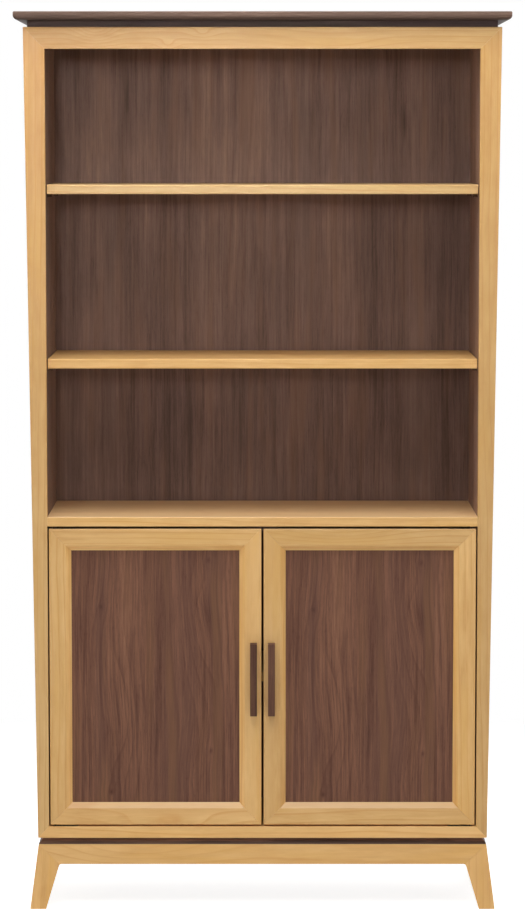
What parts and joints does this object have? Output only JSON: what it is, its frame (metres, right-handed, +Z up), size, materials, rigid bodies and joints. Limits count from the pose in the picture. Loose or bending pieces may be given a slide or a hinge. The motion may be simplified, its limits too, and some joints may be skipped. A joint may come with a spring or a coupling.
{
  "type": "bookcase with cabinet doors",
  "caption": "Tall bookcase with open shelf bays over a cabinet with inset panelled doors, sides that lean out towards the top, and splayed legs.",
  "frame": {"origin": "on the floor, under the middle of the bookcase's bounding box", "axes": "+X to the right as seen from the front, +Y to the back, +Z up"},
  "size_m": [0.9984, 0.364, 1.829],
  "materials": {
    "light_wood": "satin lacquer, light natural wood with straight grain",
    "walnut": "satin lacquer, brown walnut with straight and arched grain",
    "dark_wood": "satin lacquer, dark brown",
    "steel": "dark bronze plated",
    "plastic": "brown moulded plastic"
  },
  "bodies": {
    "case": {"top_slab": "walnut", "top_spacer": "dark_wood", "case_top": "light_wood", "frame_stile_left": "light_wood", "frame_stile_right": "light_wood", "frame_top_rail": "light_wood", "frame_bottom_rail": "light_wood", "side_panel_left": "light_wood", "side_panel_right": "light_wood", "side_liner_left": "walnut", "side_liner_right": "walnut", "fixed_shelf": "light_wood", "cabinet_floor": "light_wood", "back_panel": "walnut", "door_catch": "plastic", "shelf_upper_pin_left_front": "steel", "shelf_upper_pin_left_back": "steel", "shelf_upper_pin_right_front": "steel", "shelf_upper_pin_right_back": "steel", "shelf_middle_pin_left_front": "steel", "shelf_middle_pin_left_back": "steel", "shelf_middle_pin_right_front": "steel", "shelf_middle_pin_right_back": "steel", "cabinet_shelf_pin_left_front": "steel", "cabinet_shelf_pin_left_back": "steel", "cabinet_shelf_pin_right_front": "steel", "cabinet_shelf_pin_right_back": "steel", "case_hinge_leaf_left_lower": "steel", "case_hinge_leaf_left_upper": "steel", "case_hinge_leaf_right_lower": "steel", "case_hinge_leaf_right_upper": "steel", "base_spacer": "dark_wood", "apron_front": "light_wood", "apron_back": "light_wood", "apron_left": "light_wood", "apron_right": "light_wood", "leg_left_front": "light_wood", "leg_right_front": "light_wood", "leg_left_back": "light_wood", "leg_right_back": "light_wood"},
    "left_door": {"door_left_hinge_stile": "light_wood", "door_left_meeting_stile": "light_wood", "door_left_top_rail": "light_wood", "door_left_bottom_rail": "light_wood", "door_left_panel": "walnut", "door_left_handle": "walnut", "door_left_hinge_leaf_lower": "steel", "door_left_hinge_leaf_upper": "steel"},
    "right_door": {"door_right_hinge_stile": "light_wood", "door_right_meeting_stile": "light_wood", "door_right_top_rail": "light_wood", "door_right_bottom_rail": "light_wood", "door_right_panel": "walnut", "door_right_handle": "walnut", "door_right_hinge_leaf_lower": "steel", "door_right_hinge_leaf_upper": "steel"},
    "upper_shelf": {"shelf_upper": "light_wood"},
    "middle_shelf": {"shelf_middle": "light_wood"},
    "lower_shelf": {"cabinet_shelf": "light_wood"}
  },
  "joints": [
    {"name": "left_door_hinge", "type": "hinge", "parent": "case", "child": "left_door", "pos_m": [-0.425, -0.151, 0.481], "axis": [0, 0, -1], "range_deg": [0, 105]},
    {"name": "right_door_hinge", "type": "hinge", "parent": "case", "child": "right_door", "pos_m": [0.425, -0.151, 0.481], "axis": [0, 0, 1], "range_deg": [0, 105]},
    {"name": "upper_shelf_lift", "type": "slide", "parent": "case", "child": "upper_shelf", "axis": [0, 0, 1], "range_m": [0, 0.064]},
    {"name": "middle_shelf_lift", "type": "slide", "parent": "case", "child": "middle_shelf", "axis": [0, 0, 1], "range_m": [0, 0.064]},
    {"name": "cabinet_shelf_lift", "type": "slide", "parent": "case", "child": "lower_shelf", "axis": [0, 0, 1], "range_m": [0, 0.064]}
  ]
}
